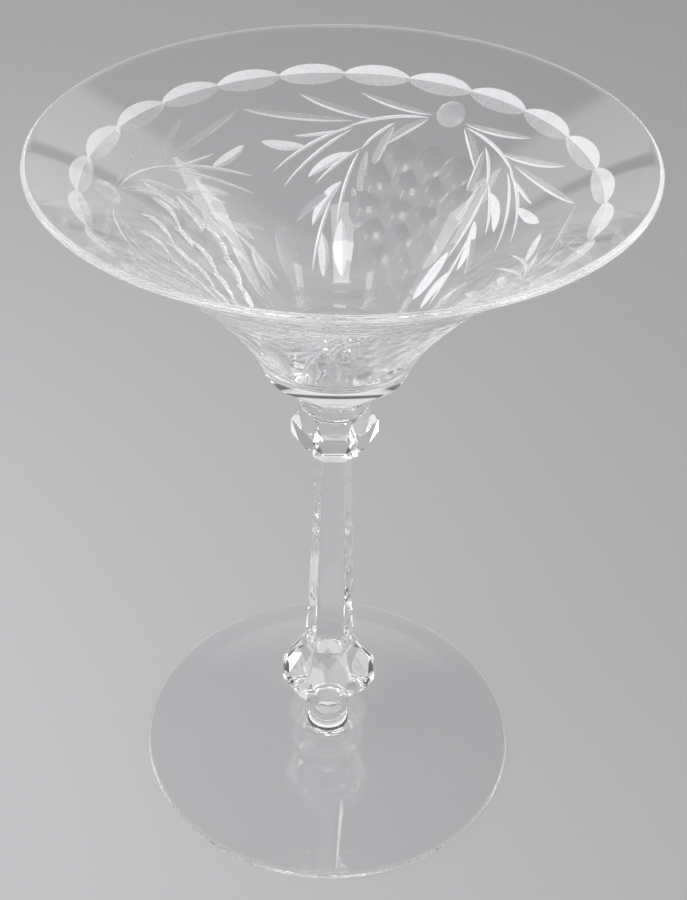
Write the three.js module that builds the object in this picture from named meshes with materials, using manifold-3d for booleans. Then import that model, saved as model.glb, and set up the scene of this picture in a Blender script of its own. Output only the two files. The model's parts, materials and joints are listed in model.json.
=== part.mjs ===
// A stemmed sherbet glass: a trumpet bowl on a facet-cut stem and a thin round foot.
// Millimetres, +Z up. The origin is the centre of the plane that the foot rests on.
// One flat panel of the stem faces -Y.

import * as THREE from 'three';
import { mergeVertices } from 'three/addons/utils/BufferGeometryUtils.js';
import Module from 'manifold-3d';

const wasm = await Module();
wasm.setup();

// Foot: a thin disc, hollow underneath, swept up to a small round seam in the middle
const footRadius = 39;
const footHeight = 7;
const footEdge = 1.2;
const footRestWidth = 3.5;
const footHollow = 1;
const footShoulderRadius = 12;
const footShoulderHeight = 2.6;
const footSeamRadius = 3.8;

// Foot button: the wafer of glass that joins the foot to the stem
const footButtonHeight = 5;
const footButtonBulge = 0.6;

// Lower knop: a turned ball, cut all over with flat facets
const lowerKnopHeight = 15.5;
const lowerKnopRadius = 10.1;
const lowerKnopWidest = 8.2;
const lowerKnopSeamRadius = 4.2;
const lowerKnopTopRadius = 5.2;
const lowerKnopCupSlope = 45;
const lowerKnopCupPull = 4;
const lowerKnopSidePull = 2.8;
const lowerKnopShoulderPull = 1.4;
const lowerKnopCrownSlope = 58;
const lowerKnopCrownPull = 3;
const lowerKnopTongueTilt = 57;

// Stem shank: a six-sided taper, slightly hollow along its length
const panels = 6;
const stemLength = 50;
const stemBaseCorner = 5;
const stemTopCorner = 3.5;
const stemHollow = 0.05;

// Upper knop: a six-sided nut with a bevel above and below its girdle
const upperKnopHeight = 10;
const upperKnopCorner = 8.05;
const upperKnopBaseCorner = 4.2;
const upperKnopTopCorner = 6.1;
const upperKnopLowerBevel = 4.1;
const upperKnopUpperBevel = 2.7;

// Bowl button: the wafer of glass that joins the stem to the bowl
const bowlButtonHeight = 3.5;
const bowlButtonBulge = 0.5;
const bowlButtonBaseRadius = 5.2;

// Bowl: a trumpet with a solid, facet-cut base and a rounded rim
const bowlHeight = 48.5;
const bowlSeamRadius = 6.3;
const bowlRidgeRadius = 13.1;
const bowlRidgeHeight = 6.2;
const bowlBaseFacets = 12;
const bowlFloorHeight = 8;
const bowlFloorRadius = 12;
const bowlFloorRise = 3.5;
const rimRadius = 51;
const rimWall = 1.2;
const rimSlope = 34.4;
const ridgeSlope = 73.3;
const wellSlope = 66;
const flareStartPull = 12.6;
const flareEndPull = 19.3;
const wellStartPull = 9;
const wellEndPull = 20;

// How finely the turned and curved forms are drawn
const turnedSides = 72;
const flareSteps = 10;
const roundSteps = 5;
const weldDistance = 1e-5;

// Facet rows of the lower knop: tilt above level, in degrees, and depth below the turned ball.
// Rows in line with the stem's panels take turns with rows half a panel round.
const lowerKnopPanelRows = [
  { tilt: 35, depth: 0.7 },
  { tilt: 1, depth: 0.5 },
  { tilt: -33, depth: 0.7 },
];
const lowerKnopBetweenRows = [
  { tilt: 47, depth: 0.5 },
  { tilt: 18, depth: 0.6 },
  { tilt: -16, depth: 0.6 },
  { tilt: -44, depth: 0.6 },
];

const radians = THREE.MathUtils.degToRad;
const panelHalf = Math.PI / panels;

function point(radius, height) {
  return new THREE.Vector2(radius, height);
}

// The point at a distance from another, along a slope in degrees above level
function pulled(from, slope, distance) {
  const angle = radians(slope);
  return point(from.x + distance * Math.cos(angle), from.y + distance * Math.sin(angle));
}

// Shares the vertices of a geometry and drops the empty triangles on its axis
function sealed(geometry) {
  geometry.deleteAttribute('normal');
  geometry.deleteAttribute('uv');
  const skin = mergeVertices(geometry, weldDistance);
  const corners = skin.index.array;
  const kept = [];
  for (let i = 0; i < corners.length; i += 3) {
    const [a, b, c] = corners.slice(i, i + 3);
    if (a !== b && b !== c && c !== a) kept.push(a, b, c);
  }
  skin.setIndex(kept);
  return skin;
}

// A solid of revolution about Z; with few sides it is a prism whose flat faces -Y
function turned(outline, sides) {
  const lathe = new THREE.LatheGeometry(outline, sides, Math.PI / sides);
  return sealed(lathe.rotateX(Math.PI / 2));
}

function solidFrom(geometry) {
  const vertProperties = geometry.attributes.position.array;
  const triVerts = Uint32Array.from(geometry.index.array);
  return new wasm.Manifold(new wasm.Mesh({ numProp: 3, vertProperties, triVerts }));
}

function geometryFrom(solid) {
  const mesh = solid.getMesh();
  const geometry = new THREE.BufferGeometry();
  geometry.setAttribute('position', new THREE.BufferAttribute(mesh.vertProperties, 3));
  geometry.setIndex(Array.from(mesh.triVerts));
  return geometry;
}

// The furthest that an outline reaches along a direction tilted above level
function reach(outline, tilt) {
  const angle = radians(tilt);
  return Math.max(...outline.map((p) => p.x * Math.cos(angle) + p.y * Math.sin(angle)));
}

// Cuts one ring of flat facets: each removes what lies past a plane at this distance along its tilt
function cutFacetRow(solid, { count, turn, tilt, distance, size }) {
  let cut = solid;
  for (let i = 0; i < count; i += 1) {
    const wheel = new THREE.BoxGeometry(size, size, size);
    wheel.translate(distance + size / 2, 0, 0);
    wheel.rotateY(-radians(tilt));
    wheel.rotateZ(turn + (2 * Math.PI * i) / count - Math.PI / 2);
    cut = cut.subtract(solidFrom(sealed(wheel)));
  }
  return cut;
}

function footGeometry() {
  const edgeHalf = footEdge / 2;
  const restOuter = footRadius - edgeHalf;
  const restInner = restOuter - footRestWidth;
  const hollow = new THREE.QuadraticBezierCurve(
    point(0, footHollow), point(restInner / 2, footHollow), point(restInner, 0));
  const edge = new THREE.EllipseCurve(restOuter, edgeHalf, edgeHalf, edgeHalf, -Math.PI / 2, Math.PI / 2);
  const sweep = new THREE.QuadraticBezierCurve(
    point(footShoulderRadius, footShoulderHeight),
    point(footSeamRadius, footShoulderHeight),
    point(footSeamRadius, footHeight));
  const outline = [
    ...hollow.getPoints(roundSteps),
    ...edge.getPoints(roundSteps),
    ...sweep.getPoints(roundSteps),
    point(0, footHeight),
  ];
  return turned(outline, turnedSides);
}

// A round wafer that bulges between two flat seams
function buttonGeometry(baseRadius, topRadius, height, bulge) {
  const widest = Math.max(baseRadius, topRadius) + 2 * bulge;
  const side = new THREE.QuadraticBezierCurve(
    point(baseRadius, 0), point(widest, height / 2), point(topRadius, height));
  const outline = [point(0, 0), ...side.getPoints(roundSteps), point(0, height)];
  return turned(outline, turnedSides);
}

function lowerKnopOutline() {
  const base = point(lowerKnopSeamRadius, 0);
  const widest = point(lowerKnopRadius, lowerKnopWidest);
  const top = point(lowerKnopTopRadius, lowerKnopHeight);
  const cup = new THREE.CubicBezierCurve(
    base,
    pulled(base, lowerKnopCupSlope, lowerKnopCupPull),
    pulled(widest, -90, lowerKnopSidePull),
    widest);
  const crown = new THREE.CubicBezierCurve(
    widest,
    pulled(widest, 90, lowerKnopShoulderPull),
    pulled(top, -lowerKnopCrownSlope, lowerKnopCrownPull),
    top);
  return [
    point(0, 0),
    ...cup.getPoints(flareSteps),
    ...crown.getPoints(flareSteps),
    point(0, lowerKnopHeight),
  ];
}

// The ball is cut where the stem's panels run out over its crown, then in rings down its side
function lowerKnopGeometry() {
  const outline = lowerKnopOutline();
  const size = 3 * (lowerKnopRadius + lowerKnopHeight);
  const tongue = radians(lowerKnopTongueTilt);
  const stemApothem = stemBaseCorner * Math.cos(panelHalf);
  const tongueDistance = stemApothem * Math.cos(tongue) + lowerKnopHeight * Math.sin(tongue);
  const cutRow = (solid, turn, tilt, distance) =>
    cutFacetRow(solid, { count: panels, turn, tilt, distance, size });
  let knop = solidFrom(turned(outline, turnedSides));
  knop = cutRow(knop, 0, lowerKnopTongueTilt, tongueDistance);
  for (const { tilt, depth } of lowerKnopPanelRows) {
    knop = cutRow(knop, 0, tilt, reach(outline, tilt) - depth);
  }
  for (const { tilt, depth } of lowerKnopBetweenRows) {
    knop = cutRow(knop, panelHalf, tilt, reach(outline, tilt) - depth);
  }
  return geometryFrom(knop);
}

function stemGeometry() {
  const middle = (stemBaseCorner + stemTopCorner) / 2 - 2 * stemHollow;
  const side = new THREE.QuadraticBezierCurve(
    point(stemBaseCorner, 0), point(middle, stemLength / 2), point(stemTopCorner, stemLength));
  const outline = [point(0, 0), ...side.getPoints(roundSteps), point(0, stemLength)];
  return turned(outline, panels);
}

function upperKnopGeometry() {
  const outline = [
    point(0, 0),
    point(upperKnopBaseCorner, 0),
    point(upperKnopCorner, upperKnopLowerBevel),
    point(upperKnopCorner, upperKnopHeight - upperKnopUpperBevel),
    point(upperKnopTopCorner, upperKnopHeight),
    point(0, upperKnopHeight),
  ];
  return turned(outline, panels);
}

// Outside up the base and the flare, round the rim, down the well to its floor
function bowlOutline() {
  const lean = radians(rimSlope);
  const lipRadius = rimWall / 2;
  const lip = point(rimRadius - lipRadius, bowlHeight - lipRadius);
  const outerLip = pulled(lip, rimSlope - 90, lipRadius);
  const innerLip = pulled(lip, rimSlope + 90, lipRadius);
  const ridge = point(bowlRidgeRadius, bowlRidgeHeight);
  const wellEdge = point(bowlFloorRadius, bowlFloorHeight + bowlFloorRise);
  const wellTurn = pulled(wellEdge, wellSlope, -bowlFloorRise / Math.sin(radians(wellSlope)));
  const flare = new THREE.CubicBezierCurve(
    ridge, pulled(ridge, ridgeSlope, flareStartPull), pulled(outerLip, rimSlope, -flareEndPull), outerLip);
  const rim = new THREE.EllipseCurve(
    lip.x, lip.y, lipRadius, lipRadius, lean - Math.PI / 2, lean + Math.PI / 2);
  const well = new THREE.CubicBezierCurve(
    innerLip, pulled(innerLip, rimSlope, -wellEndPull), pulled(wellEdge, wellSlope, wellStartPull), wellEdge);
  const floor = new THREE.QuadraticBezierCurve(wellEdge, wellTurn, point(0, bowlFloorHeight));
  return [
    point(0, 0),
    point(bowlSeamRadius, 0),
    ...flare.getPoints(flareSteps),
    ...rim.getPoints(roundSteps),
    ...well.getPoints(flareSteps),
    ...floor.getPoints(roundSteps),
  ];
}

// The base is cut with a ring of facets between its seam and its ridge, which they scallop
function bowlGeometry() {
  const slant = Math.atan2(bowlSeamRadius - bowlRidgeRadius, bowlRidgeHeight);
  const ridgeFlat = bowlRidgeRadius * Math.cos(Math.PI / bowlBaseFacets);
  const bowl = cutFacetRow(solidFrom(turned(bowlOutline(), turnedSides)), {
    count: bowlBaseFacets,
    turn: 0,
    tilt: THREE.MathUtils.radToDeg(slant),
    distance: ridgeFlat * Math.cos(slant) + bowlRidgeHeight * Math.sin(slant),
    size: 2 * bowlRidgeRadius,
  });
  return geometryFrom(bowl);
}

// The pieces in the order that they stand on each other, each with its height
const crystal = { color: '#eef0f3', roughness: 0.03, metalness: 0, transparent: true, opacity: 0.35 };
const stack = [
  { name: 'foot', height: footHeight, geometry: footGeometry() },
  {
    name: 'foot_button',
    height: footButtonHeight,
    geometry: buttonGeometry(footSeamRadius, lowerKnopSeamRadius, footButtonHeight, footButtonBulge),
  },
  { name: 'lower_knop', height: lowerKnopHeight, geometry: lowerKnopGeometry() },
  { name: 'stem_shank', height: stemLength, geometry: stemGeometry() },
  { name: 'upper_knop', height: upperKnopHeight, geometry: upperKnopGeometry() },
  {
    name: 'bowl_button',
    height: bowlButtonHeight,
    geometry: buttonGeometry(bowlButtonBaseRadius, bowlSeamRadius, bowlButtonHeight, bowlButtonBulge),
  },
  { name: 'bowl', height: bowlHeight, geometry: bowlGeometry() },
];

const glass = new THREE.Group();
let seam = 0;
for (const { name, height, geometry } of stack) {
  const mesh = new THREE.Mesh(geometry, new THREE.MeshStandardMaterial({ ...crystal, flatShading: true }));
  mesh.name = name;
  mesh.position.z = seam;
  glass.add(mesh);
  seam += height;
}

export default glass;
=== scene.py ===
# Stemmed sherbet glass of clear cut crystal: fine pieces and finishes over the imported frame.
# The pieces are drawn in millimetres on their own seam, then scaled and stood in their place.
import json
import math

import bmesh
import bpy
from mathutils import Matrix, Vector
from mathutils.geometry import interpolate_bezier

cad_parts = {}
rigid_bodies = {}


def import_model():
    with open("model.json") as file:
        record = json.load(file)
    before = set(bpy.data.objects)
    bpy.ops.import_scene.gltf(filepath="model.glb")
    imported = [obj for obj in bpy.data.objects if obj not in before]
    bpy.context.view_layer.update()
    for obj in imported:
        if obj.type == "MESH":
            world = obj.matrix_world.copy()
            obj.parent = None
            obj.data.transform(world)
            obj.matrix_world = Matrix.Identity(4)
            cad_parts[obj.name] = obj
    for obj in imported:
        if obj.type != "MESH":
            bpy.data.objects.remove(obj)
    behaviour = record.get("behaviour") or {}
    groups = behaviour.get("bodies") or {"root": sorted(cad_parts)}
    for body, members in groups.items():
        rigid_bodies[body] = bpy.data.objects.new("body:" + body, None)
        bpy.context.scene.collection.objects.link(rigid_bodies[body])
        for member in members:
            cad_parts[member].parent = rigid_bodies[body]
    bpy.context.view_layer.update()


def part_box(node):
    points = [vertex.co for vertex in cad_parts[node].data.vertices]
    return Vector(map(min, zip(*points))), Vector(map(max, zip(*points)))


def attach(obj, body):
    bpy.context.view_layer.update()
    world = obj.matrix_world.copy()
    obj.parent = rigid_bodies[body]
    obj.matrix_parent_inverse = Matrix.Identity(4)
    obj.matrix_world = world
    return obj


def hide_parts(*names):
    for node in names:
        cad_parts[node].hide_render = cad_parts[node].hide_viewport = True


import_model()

MM = 0.001
SNAP = 1e-4
WELD = MM / 1000
TURN_STEPS = 192
PANELS = 6
PANEL_HALF = math.pi / PANELS
SKIN, SEAM = 0, 1

# Angles in degrees past which an edge stays crisp
ROUND_CREASE = 28
FACET_CREASE = 5
CUT_CREASE = 9

CRYSTAL_IOR = 1.53
CLEAR = (0.985, 0.985, 0.99, 1)
# Clear crystal with a faint pink tint: a painted reflection of the pinkish surroundings seen in the stem, not
# the glass's own colour
CLEAR_WITH_PAINTED_PINK = (0.985, 0.98, 0.985, 1)
CLEAR_SHADE = 0.97
GREY_SHADE = 0.8
RIPPLE_DEPTH = 0.4 * MM
GRAIN_DEPTH = 0.06 * MM


# Shader maths

class Value:
    """A socket of a node tree. Arithmetic on it adds Math nodes, and node() adds any other node."""

    def __init__(self, tree, socket=None):
        self.tree = tree
        self.socket = socket

    def node(self, kind, settings, sockets, out=0):
        made = self.tree.nodes.new(kind)
        for name, setting in settings.items():
            if name == "stops":
                ramp = made.color_ramp.elements
                ramp[0].position, ramp[0].color = setting[0]
                ramp[1].position, ramp[1].color = setting[1]
                for place, colour in setting[2:]:
                    ramp.new(place).color = colour
            else:
                setattr(made, name, setting)
        for name, value in sockets.items():
            if isinstance(value, Value):
                self.tree.links.new(value.socket, made.inputs[name])
            else:
                made.inputs[name].default_value = value
        return Value(self.tree, made.outputs[out] if len(made.outputs) else None)

    def maths(self, operation, first, second):
        return self.node("ShaderNodeMath", {"operation": operation}, {0: first, 1: second})

    def __add__(self, other):
        return self.maths("ADD", self, other)

    def __mul__(self, other):
        return self.maths("MULTIPLY", self, other)

    __radd__ = __add__
    __rmul__ = __mul__


def new_finish(name):
    """An empty material and the value that its nodes are made from."""
    finish = bpy.data.materials.new(name)
    finish.use_nodes = True
    finish.node_tree.nodes.clear()
    return finish, Value(finish.node_tree)


def noise(tree, scale, detail=2.0, stretch=(1, 1, 1)):
    """A noise pattern over a piece; the scale is in lumps to the metre."""
    place = tree.node("ShaderNodeTexCoord", {}, {}, "Object")
    place = tree.node("ShaderNodeMapping", {}, {"Vector": place, "Scale": stretch})
    return tree.node("ShaderNodeTexNoise", {}, {"Vector": place, "Scale": scale, "Detail": detail}, 0)


def close_glass(tree, shader, shade):
    """Lets lamplight through to the floor, a little dimmed, as real glass does."""
    through = tree.node("ShaderNodeBsdfTransparent", {}, {"Color": (shade, shade, shade, 1)})
    for ray in ("Is Shadow Ray", "Is Diffuse Ray"):
        path = tree.node("ShaderNodeLightPath", {}, {}, ray)
        shader = tree.node("ShaderNodeMixShader", {}, {0: path, 1: shader, 2: through})
    tree.node("ShaderNodeOutputMaterial", {}, {"Surface": shader})


def clear_crystal(name, colour, ripple, ripple_scale, haze):
    """Polished lead crystal: blown ripple in the surface and a faint haze of handling."""
    finish, tree = new_finish(name)
    smears = noise(tree, 90, 4.0)
    wave = noise(tree, ripple_scale, 1.0)
    relief = tree.node("ShaderNodeBump", {}, {"Strength": ripple, "Distance": RIPPLE_DEPTH, "Height": wave})
    shader = tree.node("ShaderNodeBsdfPrincipled", {}, {
        "Base Color": colour,
        "Roughness": smears * smears * haze,
        "IOR": CRYSTAL_IOR,
        "Transmission Weight": 1.0,
        "Normal": relief,
    })
    close_glass(tree, shader, CLEAR_SHADE)
    return finish


def grey_cut(name, clearness, polish):
    """Wheel-cut glass left unpolished: a fine grain that scatters the light."""
    finish, tree = new_finish(name)
    grain = noise(tree, 9000, 3.0)
    wheel_marks = noise(tree, 2600, 2.0, (1, 1, 0.2))
    whiteness = tree.node("ShaderNodeValToRGB", {"stops": [
        (0.25, (0.80, 0.81, 0.83, 1)), (0.75, (0.97, 0.97, 0.98, 1))]}, {0: wheel_marks})
    relief = tree.node("ShaderNodeBump", {}, {"Strength": 0.35, "Distance": GRAIN_DEPTH, "Height": grain})
    shader = tree.node("ShaderNodeBsdfPrincipled", {}, {
        "Base Color": whiteness,
        "Roughness": polish + 0.2 * grain,
        "IOR": CRYSTAL_IOR,
        "Transmission Weight": clearness,
        "Normal": relief,
    })
    close_glass(tree, shader, GREY_SHADE)
    return finish


def joined_seam(name):
    """Where two pieces were stuck together hot, the glass runs through without a surface."""
    finish, tree = new_finish(name)
    shader = tree.node("ShaderNodeBsdfPrincipled", {}, {"Alpha": 0.0})
    tree.node("ShaderNodeOutputMaterial", {}, {"Surface": shader})
    return finish


# Outlines, as points (radius, 0, height)

def at(radius, height):
    return Vector((radius, 0, height))


def pulled(start, slope, distance):
    """The point at a distance from another, along a slope in degrees above level."""
    angle = math.radians(slope)
    return start + at(distance * math.cos(angle), distance * math.sin(angle))


def bend(start, pull, end, steps):
    """A curve with one pull point."""
    return interpolate_bezier(start, start.lerp(pull, 2 / 3), end.lerp(pull, 2 / 3), end, steps)


def arc(centre, radius, first, last, steps):
    angles = [first + (last - first) * i / steps for i in range(steps + 1)]
    return [pulled(centre, angle, radius) for angle in angles]


# Mesh steps

def turned(outline, steps=TURN_STEPS):
    """Spins an outline about Z; with six steps it is a prism with a flat towards -Y."""
    bm = bmesh.new()
    line = [bm.verts.new(point) for point in outline]
    edges = [bm.edges.new(pair) for pair in zip(line, line[1:])]
    bmesh.ops.spin(bm, geom=line + edges, cent=(0, 0, 0), axis=(0, 0, 1), angle=2 * math.pi,
                   steps=steps, use_merge=True)
    bmesh.ops.remove_doubles(bm, verts=bm.verts, dist=SNAP)
    bmesh.ops.recalc_face_normals(bm, faces=bm.faces)
    return bm


def grind(bm, count, turn, tilt, distance):
    """Cuts a ring of flat facets, the first one facing -Y when turn is 0."""
    for i in range(count):
        around = turn + 2 * math.pi * i / count - math.pi / 2
        level = Vector((math.cos(around), math.sin(around), 0))
        facing = level * math.cos(tilt) + Vector((0, 0, math.sin(tilt)))
        whole = bm.verts[:] + bm.edges[:] + bm.faces[:]
        cut = bmesh.ops.bisect_plane(bm, geom=whole, dist=SNAP, plane_co=facing * distance,
                                     plane_no=facing, clear_outer=True)
        edge = [e for e in cut["geom_cut"] if isinstance(e, bmesh.types.BMEdge)]
        if edge:
            bmesh.ops.contextual_create(bm, geom=edge)


def mark_seam(bm, height, radius):
    """Marks the flat faces at a height, out to a radius, as joined to the next piece."""
    near = 10 * SNAP
    for face in bm.faces:
        if all(abs(v.co.z - height) < near and v.co.xy.length < radius + near for v in face.verts):
            face.material_index = SEAM


def seat_cap(bm, height, sides, corner, turn):
    """Closes an open end round the footprint of the next piece, which becomes a seam."""
    rim = [e for e in bm.edges if e.is_boundary and all(abs(v.co.z - height) < SNAP for v in e.verts)]
    place = Matrix.Translation((0, 0, height)) @ Matrix.Rotation(turn, 4, "Z")
    ring = bmesh.ops.create_circle(bm, segments=sides, radius=corner, matrix=place)["verts"]
    footprint = list(dict.fromkeys(e for v in ring for e in v.link_edges))
    bmesh.ops.triangle_fill(bm, use_beauty=True, edges=rim + footprint)
    bmesh.ops.contextual_create(bm, geom=footprint)
    bmesh.ops.recalc_face_normals(bm, faces=bm.faces)
    mark_seam(bm, height, corner)


def ease_edges(bm, width, least_angle):
    """Takes the razor edge off the long corners, as polishing does."""
    long_edges = [
        e for e in bm.edges
        if len(e.link_faces) == 2 and e.calc_face_angle() > math.radians(least_angle)
        and SEAM not in [f.material_index for f in e.link_faces]
    ]
    bmesh.ops.bevel(bm, geom=long_edges, offset=width, offset_type="OFFSET", segments=3, profile=0.5,
                    affect="EDGES", material=-1, clamp_overlap=True)


def stand(bm, name, node, finishes, crease):
    """Scales a piece to metres, stands it on its seam and makes it the stand-in for its node."""
    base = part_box(node)[0].z
    place = Matrix.Translation((0, 0, base)) @ Matrix.Scale(MM, 4)
    bmesh.ops.transform(bm, matrix=place, verts=bm.verts)
    mesh = bpy.data.meshes.new(name)
    for face in bm.faces:
        face.smooth = face.material_index == SKIN
    bm.to_mesh(mesh)
    bm.free()
    mesh.set_sharp_from_angle(angle=math.radians(crease))
    for finish in finishes:
        mesh.materials.append(finish)
    piece = bpy.data.objects.new(name, mesh)
    bpy.context.scene.collection.objects.link(piece)
    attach(piece, "root")
    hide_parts(node)
    return piece


# Sizes that the pieces share, in millimetres

FOOT_SEAM = 3.8
KNOP_SEAM = 4.2
STEM_BASE_CORNER = 5.0
STEM_TOP_CORNER = 3.5
BUTTON_SEAM = 5.2
BOWL_SEAM = 6.3
BOWL_FACETS = 12


def height_of(node):
    low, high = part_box(node)
    return (high.z - low.z) / MM


def radius_of(node):
    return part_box(node)[1].x / MM


# Pieces

def foot_outline():
    height = height_of("foot")
    edge_half = 0.6
    rest_width = 3.5
    hollow_height = 1
    rest_outer = radius_of("foot") - edge_half
    rest_inner = rest_outer - rest_width
    brow = at(12, 2.6)
    hollow = bend(at(0, hollow_height), at(rest_inner / 2, hollow_height), at(rest_inner, 0), 24)
    edge = arc(at(rest_outer, edge_half), edge_half, -90, 90, 16)
    top = interpolate_bezier(edge[-1], pulled(edge[-1], 180 - 3, 9), at(16, 2.25), brow, 24)
    sweep = bend(brow, at(FOOT_SEAM, brow.z), at(FOOT_SEAM, height), 28)
    return hollow + edge + top[1:] + sweep[1:] + [at(0, height)]


def button_side(base, top, height, bulge):
    """The side of a round wafer that bulges between two seams."""
    return bend(at(base, 0), at(max(base, top) + 2 * bulge, height / 2), at(top, height), 16)


def lower_knop_outline(height):
    base = at(KNOP_SEAM, 0)
    widest = at(10.1, 8.2)
    top = at(5.2, height)
    cup = interpolate_bezier(base, pulled(base, 45, 4), pulled(widest, -90, 2.8), widest, 12)
    crown = interpolate_bezier(widest, pulled(widest, 90, 1.4), pulled(top, -58, 3), top, 12)
    return [at(0, 0)] + cup + crown[1:] + [at(0, height)]


def lower_knop():
    """A ball cut all over: tongues under the stem's panels, then rings in line and between."""
    height = height_of("lower_knop")
    outline = lower_knop_outline(height)
    bm = turned(outline, 96)
    tongue = math.radians(57)
    apothem = STEM_BASE_CORNER * math.cos(PANEL_HALF)
    grind(bm, PANELS, 0, tongue, apothem * math.cos(tongue) + height * math.sin(tongue))
    in_line = [(35, 0.7), (1, 0.5), (-33, 0.7)]
    between = [(47, 0.5), (18, 0.6), (-16, 0.6), (-44, 0.6)]
    for turn, rows in ((0, in_line), (PANEL_HALF, between)):
        for tilt, depth in rows:
            angle = math.radians(tilt)
            reach = max(p.x * math.cos(angle) + p.z * math.sin(angle) for p in outline)
            grind(bm, PANELS, turn, angle, reach - depth)
    bmesh.ops.recalc_face_normals(bm, faces=bm.faces)
    mark_seam(bm, 0, KNOP_SEAM)
    mark_seam(bm, height, STEM_BASE_CORNER)
    return bm


def stem_shank():
    height = height_of("stem_shank")
    bm = turned([at(0, 0), at(STEM_BASE_CORNER, 0), at(STEM_TOP_CORNER, height), at(0, height)], PANELS)
    mark_seam(bm, 0, STEM_BASE_CORNER)
    mark_seam(bm, height, STEM_TOP_CORNER)
    ease_edges(bm, 0.3, 15)
    return bm


def upper_knop():
    height = height_of("upper_knop")
    corner = radius_of("upper_knop")
    base_corner, top_corner = 4.2, 6.1
    lower_bevel, upper_bevel = 4.1, 2.7
    base = [at(0, 0), at(STEM_TOP_CORNER, 0), at(base_corner, 0)]
    side = [at(corner, lower_bevel), at(corner, height - upper_bevel), at(top_corner, height)]
    bm = turned(base + side, PANELS)
    mark_seam(bm, 0, STEM_TOP_CORNER)
    seat_cap(bm, height, TURN_STEPS, BUTTON_SEAM, 0)
    return bm


def bowl_button():
    height = height_of("bowl_button")
    side = button_side(BUTTON_SEAM, BOWL_SEAM, height, 0.5)
    bm = turned([at(0, 0)] + side)
    mark_seam(bm, 0, BUTTON_SEAM)
    ridge_flat = BOWL_RIDGE.x * math.cos(math.pi / BOWL_FACETS)
    seat_flat = ridge_flat + BOWL_SEAM - BOWL_RIDGE.x
    seat_cap(bm, height, BOWL_FACETS, seat_flat / math.cos(math.pi / BOWL_FACETS), math.pi / BOWL_FACETS)
    return bm


# Bowl: the outside from its ridge to the lip, and the well inside

BOWL_RIDGE = at(13.1, 6.2)
RIM_SLOPE = 34.4
LIP_RADIUS = 0.6
LIP = at(radius_of("bowl") - LIP_RADIUS, height_of("bowl") - LIP_RADIUS)
OUTER_LIP = pulled(LIP, RIM_SLOPE - 90, LIP_RADIUS)
INNER_LIP = pulled(LIP, RIM_SLOPE + 90, LIP_RADIUS)
FLARE = interpolate_bezier(BOWL_RIDGE, pulled(BOWL_RIDGE, 73.3, 12.6), pulled(OUTER_LIP, RIM_SLOPE, -19.3),
                           OUTER_LIP, 72)


def bowl_outline():
    rim = arc(LIP, LIP_RADIUS, RIM_SLOPE - 90, RIM_SLOPE + 90, 24)
    well_edge = at(12, 11.5)
    well_slope = 66
    floor_drop = 3.5
    well = interpolate_bezier(INNER_LIP, pulled(INNER_LIP, RIM_SLOPE, -20), pulled(well_edge, well_slope, 9),
                              well_edge, 56)
    well_turn = pulled(well_edge, well_slope, -floor_drop / math.sin(math.radians(well_slope)))
    well_floor = bend(well_edge, well_turn, at(0, well_edge.z - floor_drop), 20)
    return [at(0, 0), at(BOWL_SEAM, 0)] + FLARE + rim[1:] + well[1:] + well_floor[1:]


def bowl():
    bm = turned(bowl_outline(), 240)
    slant = math.atan2(BOWL_SEAM - BOWL_RIDGE.x, BOWL_RIDGE.z)
    ridge_flat = BOWL_RIDGE.x * math.cos(math.pi / BOWL_FACETS)
    grind(bm, BOWL_FACETS, 0, slant, ridge_flat * math.cos(slant) + BOWL_RIDGE.z * math.sin(slant))
    bmesh.ops.recalc_face_normals(bm, faces=bm.faces)
    mark_seam(bm, 0, BOWL_SEAM)
    return bm


# Cut ornament: each cutter is drawn flat, then wrapped on the flare by angle and distance below the lip

def flare_place(depth):
    """The point of the flare at a distance below the lip, and the way out of the glass there."""
    for upper, lower in zip(FLARE[::-1], FLARE[-2::-1]):
        step = (upper - lower).length
        if depth <= step:
            break
        depth -= step
    along = (lower - upper).normalized()
    return upper + along * depth, at(-along.z, along.x)


def wrap(bm, angle, depth):
    """Lays a flat cutter on the flare: x runs round the bowl, y down it, z out of the glass."""
    for v in bm.verts:
        point, out = flare_place(max(depth + v.co.y, 0))
        place = point + out * v.co.z
        round_by = math.radians(angle) + v.co.x / point.x
        v.co = Vector((math.sin(round_by) * place.x, math.cos(round_by) * place.x, place.z))
    return bm


def printy(width, tall, deep):
    """A round-bottomed hollow, ground by a domed wheel; the cutter is wider than the hollow and has a lid."""
    edge, lid, steps = 1.25, 1.6, 9
    bottom = [at(edge * i / steps, deep * ((edge * i / steps) ** 2 - 1)) for i in range(steps + 1)]
    bm = turned(bottom + [at(edge, lid), at(0, lid)], 36)
    bmesh.ops.scale(bm, vec=(width / 2, tall / 2, 1), verts=bm.verts)
    return bm


def mitre(length, width, deep, bow, lean, side=1):
    """A boat-shaped cut, ground by a wheel with a sharp edge; bow bends it and lean tips the keel aside."""
    bm = bmesh.new()
    bmesh.ops.create_uvsphere(bm, u_segments=4, v_segments=18, radius=1)
    bmesh.ops.rotate(bm, matrix=Matrix.Rotation(math.pi / 2, 3, "Y"), verts=bm.verts)
    raised = 0.35
    for face in bm.faces:
        face.material_index = int(side * face.calc_center_median().y < 0)
    for v in bm.verts:
        v.co.y += side * lean * v.co.z
        v.co.z = (v.co.z + raised) * deep / (1 - raised)
        v.co.y = v.co.y * width / 2 / (1 - raised) + side * bow * (1 - v.co.x ** 2)
    reach = math.sqrt(1 - raised ** 2)
    bmesh.ops.scale(bm, vec=(length / 2 / reach, 1, 1), verts=bm.verts)
    return bm


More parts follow.
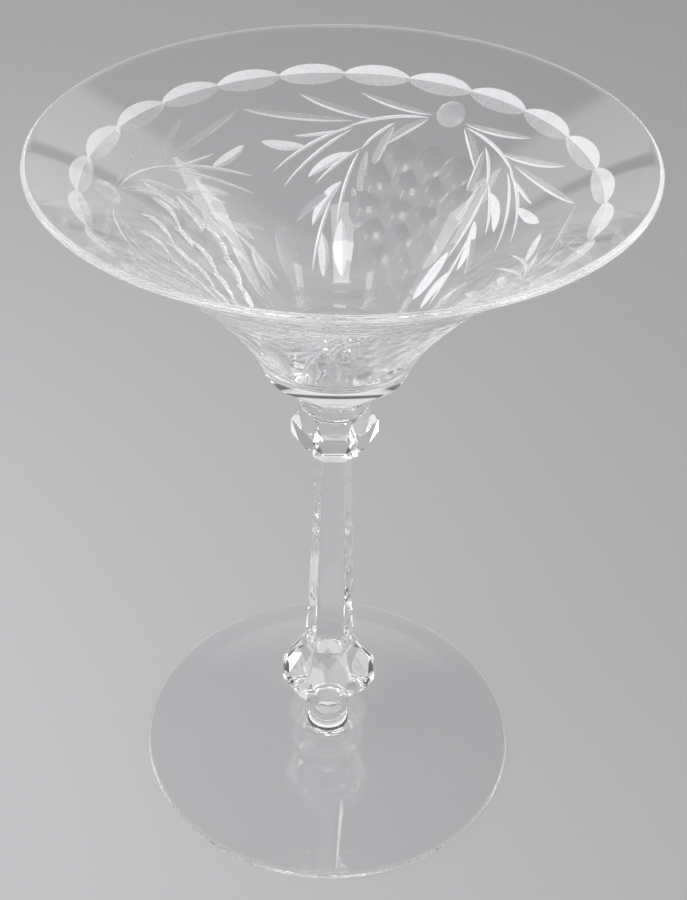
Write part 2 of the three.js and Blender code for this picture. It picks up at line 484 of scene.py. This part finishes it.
def stroke(dot, side, start, end, width, deep, bow, lean):
    """A mitre cut between two places on the bowl; side -1 gives the mirrored spray."""
    depth = (start[1] + end[1]) / 2
    radius = flare_place(depth)[0].x
    run = Vector((math.radians(side * (end[0] - start[0])) * radius, end[1] - start[1]))
    bm = mitre(run.length, width, deep, bow, lean, side)
    turn = Matrix.Rotation(math.atan2(run.y, run.x), 3, "Z")
    bmesh.ops.rotate(bm, matrix=turn, verts=bm.verts)
    return wrap(bm, dot + side * (start[0] + end[0]) / 2, depth)


# One spray, as (degrees from the dot, mm below the lip) for both ends, then width and bow.
# A vein is a thin line, a half leaf has one frosted side, and a full leaf is frosted all over.

VEINS = [
    ((5, 16.5), (30, 20.5), 0.7, -0.8),
    ((26, 20), (55, 28), 0.7, -0.7),
    ((29, 20.5), (46, 21.5), 0.7, 0.5),
    ((26, 20.5), (52, 31), 0.7, -0.6),
    ((14.5, 18.5), (24, 24.5), 0.7, -0.5),
    ((23.5, 24), (40, 31), 0.7, -0.4),
    ((24, 24.5), (31, 38.5), 0.7, -0.8),
    ((33, 33.5), (46, 47), 0.8, -0.5),
]
HALF_LEAVES = [
    ((5, 15.5), (26, 13), 1.3, 0.8),
    ((21, 18), (43, 13), 1.4, 0.9),
    ((28, 18.5), (60, 14.5), 1.4, 1.2),
    ((5.5, 16.5), (17, 23), 1.7, -0.4),
    ((15, 19), (20, 29), 1.6, -0.4),
    ((22.5, 24.5), (22.5, 35), 1.6, -0.4),
    ((27, 31.5), (21.5, 42), 1.7, 0.4),
    ((32, 32), (51, 37.5), 1.5, -0.5),
]
FULL_LEAVES = [
    ((43, 23.5), (57, 21.5), 1.9, 0.5),
    ((27, 25), (43, 29.5), 1.9, -0.6),
    ((30, 30.5), (43.5, 38.5), 2.0, -0.7),
    ((30.5, 37.5), (29, 48), 2.4, -0.3),
    ((41, 39.5), (41.5, 48), 2.0, 0.4),
]

# Places round the bowl in degrees, and mm below the lip; a row of grapes also has its count.
# A hollow's size is its width, height and depth, and an olive's its length, width and depth.

DOTS = (32.5, 152.5, 272.5)
DOT_DEPTH = 14.8
DOT_SIZE = (5.6, 5.2, 0.5)
OLIVES = 22
OLIVE_DEPTH = 9.6
OLIVE_SIZE = (13.0, 4.3, 0.62)
FIRST_OLIVE = 0.62
OVAL_TURN, OVAL_DEPTH = 60, 43
OVAL_SIZE = (4.4, 11.5, 0.4)
GRAPE_ROWS = [(25.5, 3), (30, 4), (35, 4), (40, 3), (44.5, 2)]
GRAPE_STEP = 5.6
GRAPE_SIZE = (6.4, 8.0, 0.62)
VEIN_CUT, HALF_LEAF_CUT, FULL_LEAF_CUT = 0.24, 0.3, 0.34
HALF_LEAF_LEAN, FULL_LEAF_LEAN = -0.45, -0.3


def ornament(grey, satin, polished):
    """Every cutter, with the finishes that its two sides leave."""
    cuts = []
    for i in range(OLIVES):
        olive = mitre(*OLIVE_SIZE, 0, 0)
        cuts.append((wrap(olive, 360 / OLIVES * (i + FIRST_OLIVE), OLIVE_DEPTH), (satin, grey)))
    for dot in DOTS:
        cuts.append((wrap(printy(*DOT_SIZE), dot, DOT_DEPTH), (satin, satin)))
        cuts.append((wrap(printy(*OVAL_SIZE), dot + OVAL_TURN, OVAL_DEPTH), (satin, satin)))
        for depth, count in GRAPE_ROWS:
            radius = flare_place(depth)[0].x
            for i in range(count):
                aside = math.degrees((i - (count - 1) / 2) * GRAPE_STEP / radius)
                cuts.append((wrap(printy(*GRAPE_SIZE), dot + aside, depth), (polished, polished)))
        for side in (1, -1):
            for start, end, width, bow in VEINS:
                vein = stroke(dot, side, start, end, width, VEIN_CUT, bow, 0)
                cuts.append((vein, (grey, grey)))
            for start, end, width, bow in HALF_LEAVES:
                leaf = stroke(dot, side, start, end, width, HALF_LEAF_CUT, bow, HALF_LEAF_LEAN)
                cuts.append((leaf, (grey, satin)))
            for start, end, width, bow in FULL_LEAVES:
                leaf = stroke(dot, side, start, end, width, FULL_LEAF_CUT, bow, FULL_LEAF_LEAN)
                cuts.append((leaf, (grey, grey)))
    return cuts


def carve(piece, node, cuts):
    """Cuts every cutter out of a piece, leaves the result in its mesh and clears spare points from it."""
    bench = bpy.data.collections.new("cutters")
    bpy.context.scene.collection.children.link(bench)
    place = Matrix.Translation((0, 0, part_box(node)[0].z)) @ Matrix.Scale(MM, 4)
    for bm, finishes in cuts:
        bm.normal_update()
        bmesh.ops.recalc_face_normals(bm, faces=bm.faces)
        bmesh.ops.transform(bm, matrix=place, verts=bm.verts)
        for face in bm.faces:
            face.smooth = True
        mesh = bpy.data.meshes.new("cutter")
        bm.to_mesh(mesh)
        bm.free()
        for finish in finishes:
            mesh.materials.append(finish)
        bench.objects.link(bpy.data.objects.new("cutter", mesh))
    wheel = piece.modifiers.new("cut", "BOOLEAN")
    wheel.operation = "DIFFERENCE"
    wheel.solver = "MANIFOLD"
    wheel.operand_type = "COLLECTION"
    wheel.collection = bench
    wheel.material_mode = "TRANSFER"
    shown = piece.evaluated_get(bpy.context.evaluated_depsgraph_get())
    cut = bpy.data.meshes.new_from_object(shown)
    piece.modifiers.clear()
    piece.data = cut
    for cutter in list(bench.objects):
        bpy.data.objects.remove(cutter)
    bpy.data.collections.remove(bench)
    bm = bmesh.new()
    bm.from_mesh(cut)
    bmesh.ops.remove_doubles(bm, verts=bm.verts, dist=WELD)
    idle = [v for v in bm.verts if len(v.link_edges) == 2 and all(len(f.verts) > 3 for f in v.link_faces)]
    bmesh.ops.dissolve_verts(bm, verts=idle)
    bmesh.ops.recalc_face_normals(bm, faces=bm.faces)
    bm.to_mesh(cut)
    bm.free()
    cut.set_sharp_from_angle(angle=math.radians(CUT_CREASE))


# Finishes

FOOT_CRYSTAL = clear_crystal("foot_crystal", CLEAR, 0.03, 60, 0.03)
# The stem and its knops carry the faint painted pink reflection in their glass colour
STEM_CRYSTAL = clear_crystal("stem_crystal", CLEAR_WITH_PAINTED_PINK, 0.03, 220, 0.02)
BOWL_CRYSTAL = clear_crystal("bowl_crystal", CLEAR, 0.02, 70, 0.03)
GREY_CUT = grey_cut("grey_wheel_cut", 0.40, 0.34)
SATIN_CUT = grey_cut("satin_wheel_cut", 0.86, 0.16)
POLISHED_CUT = clear_crystal("polished_cut", CLEAR, 0.03, 500, 0.5)
JOINED = joined_seam("joined_seam")


# The stack, from the table up

foot = turned(foot_outline())
mark_seam(foot, height_of("foot"), FOOT_SEAM)
stand(foot, "foot_disc", "foot", [FOOT_CRYSTAL, JOINED], ROUND_CREASE)

button_height = height_of("foot_button")
wafer = turned([at(0, 0)] + button_side(FOOT_SEAM, KNOP_SEAM, button_height, 0.6) + [at(0, button_height)])
mark_seam(wafer, 0, FOOT_SEAM)
mark_seam(wafer, button_height, KNOP_SEAM)
stand(wafer, "foot_wafer", "foot_button", [FOOT_CRYSTAL, JOINED], ROUND_CREASE)

stand(lower_knop(), "cut_ball_knop", "lower_knop", [STEM_CRYSTAL, JOINED], FACET_CREASE)
stand(stem_shank(), "panel_cut_stem", "stem_shank", [STEM_CRYSTAL, JOINED], FACET_CREASE)
stand(upper_knop(), "bevelled_knop", "upper_knop", [STEM_CRYSTAL, JOINED], FACET_CREASE)
stand(bowl_button(), "bowl_wafer", "bowl_button", [BOWL_CRYSTAL, JOINED], ROUND_CREASE)
trumpet = stand(bowl(), "cut_bowl", "bowl", [BOWL_CRYSTAL, JOINED], ROUND_CREASE)
carve(trumpet, "bowl", ornament(GREY_CUT, SATIN_CUT, POLISHED_CUT))


# Floor, light and camera, in metres and degrees

LAMP_TARGET = Vector((0, 0, 0.09))
STRIP_PLACES = [(-0.75, 0.3, 0.4), (0.75, 0.3, 0.4), (-0.6, -0.55, 0.4), (0.65, -0.45, 0.4)]
CAMERA_PLACE = (-0.00599, -0.21317, 0.24388)
LOOK_DOWN = 37.97
CAMERA_ROLL = 0.40
FLOOR_DROP = 0.2 * MM
BOUNCES = 64


def pale_floor():
    finish, tree = new_finish("pale_floor")
    shader = tree.node("ShaderNodeBsdfPrincipled", {}, {
        "Base Color": (0.43, 0.43, 0.44, 1), "Roughness": 0.7, "Specular IOR Level": 0.2})
    tree.node("ShaderNodeOutputMaterial", {}, {"Surface": shader})
    bm = bmesh.new()
    bmesh.ops.create_circle(bm, cap_ends=True, segments=64, radius=6)
    mesh = bpy.data.meshes.new("pale_floor")
    bm.to_mesh(mesh)
    bm.free()
    mesh.materials.append(finish)
    floor = bpy.data.objects.new("pale_floor", mesh)
    floor.location.z = -FLOOR_DROP
    bpy.context.scene.collection.objects.link(floor)


def studio_sky():
    """A pale wall, a dark gap, a ring of soft light and a dark ceiling, for the facets to pick from."""
    world = bpy.data.worlds.new("studio")
    bpy.context.scene.world = world
    world.use_nodes = True
    world.node_tree.nodes.clear()
    tree = Value(world.node_tree)
    direction = tree.node("ShaderNodeTexCoord", {}, {}, "Generated")
    height = tree.node("ShaderNodeSeparateXYZ", {}, {0: direction}, "Z")
    rings = [(0.0, 0.80), (0.28, 0.84), (0.30, 0.14), (0.34, 0.14), (0.37, 1.0), (0.62, 1.0), (0.68, 0.09),
             (1.0, 0.08)]
    shade = tree.node("ShaderNodeValToRGB", {"stops": [(z, (v, v, v, 1)) for z, v in rings]}, {0: height})
    light = tree.node("ShaderNodeBackground", {}, {"Color": shade, "Strength": 1.0})
    tree.node("ShaderNodeOutputWorld", {}, {"Surface": light})


def lamp(name, kind, place, power, mirrored):
    """A lamp aimed at the bowl; a mirrored one only glints in the glass, and the others only light."""
    light = bpy.data.lights.new(name, kind)
    light.energy = power
    head = bpy.data.objects.new(name, light)
    head.location = place
    aim = LAMP_TARGET - Vector(place)
    head.rotation_euler = aim.to_track_quat("-Z", "Y").to_euler()
    head.visible_diffuse = not mirrored
    head.visible_glossy = mirrored
    head.visible_transmission = mirrored
    bpy.context.scene.collection.objects.link(head)
    return light


def photo_camera():
    lens = bpy.data.cameras.new("photo_camera")
    lens.sensor_width = 36
    lens.lens = 58.04
    lens.shift_x = 0.0462
    camera = bpy.data.objects.new("photo_camera", lens)
    tip = Matrix.Rotation(math.radians(90 - LOOK_DOWN), 4, "X")
    roll = Matrix.Rotation(math.radians(CAMERA_ROLL), 4, "Z")
    camera.matrix_world = Matrix.Translation(CAMERA_PLACE) @ tip @ roll
    bpy.context.scene.collection.objects.link(camera)
    bpy.context.scene.camera = camera


pale_floor()
studio_sky()
lamp("key_globe", "POINT", (-0.30, -0.10, 0.42), 8.0, False).shadow_soft_size = 0.16
lamp("ceiling_light", "SUN", (-0.2, -0.3, 0.75), 0.7, False).angle = math.radians(60)
lamp("front_softbox", "AREA", (-0.05, -0.45, 0.55), 0.55, True).size = 0.2
for corner, place in enumerate(STRIP_PLACES):
    strip = lamp("strip_light_%d" % corner, "AREA", place, 0.7, True)
    strip.shape = "RECTANGLE"
    strip.size, strip.size_y = 0.12, 0.6
photo_camera()

scene = bpy.context.scene
scene.view_settings.view_transform = "Standard"
scene.cycles.max_bounces = BOUNCES
scene.cycles.transmission_bounces = BOUNCES
scene.cycles.glossy_bounces = BOUNCES
scene.cycles.transparent_max_bounces = BOUNCES
scene.cycles.use_denoising = True

bpy.context.view_layer.update()
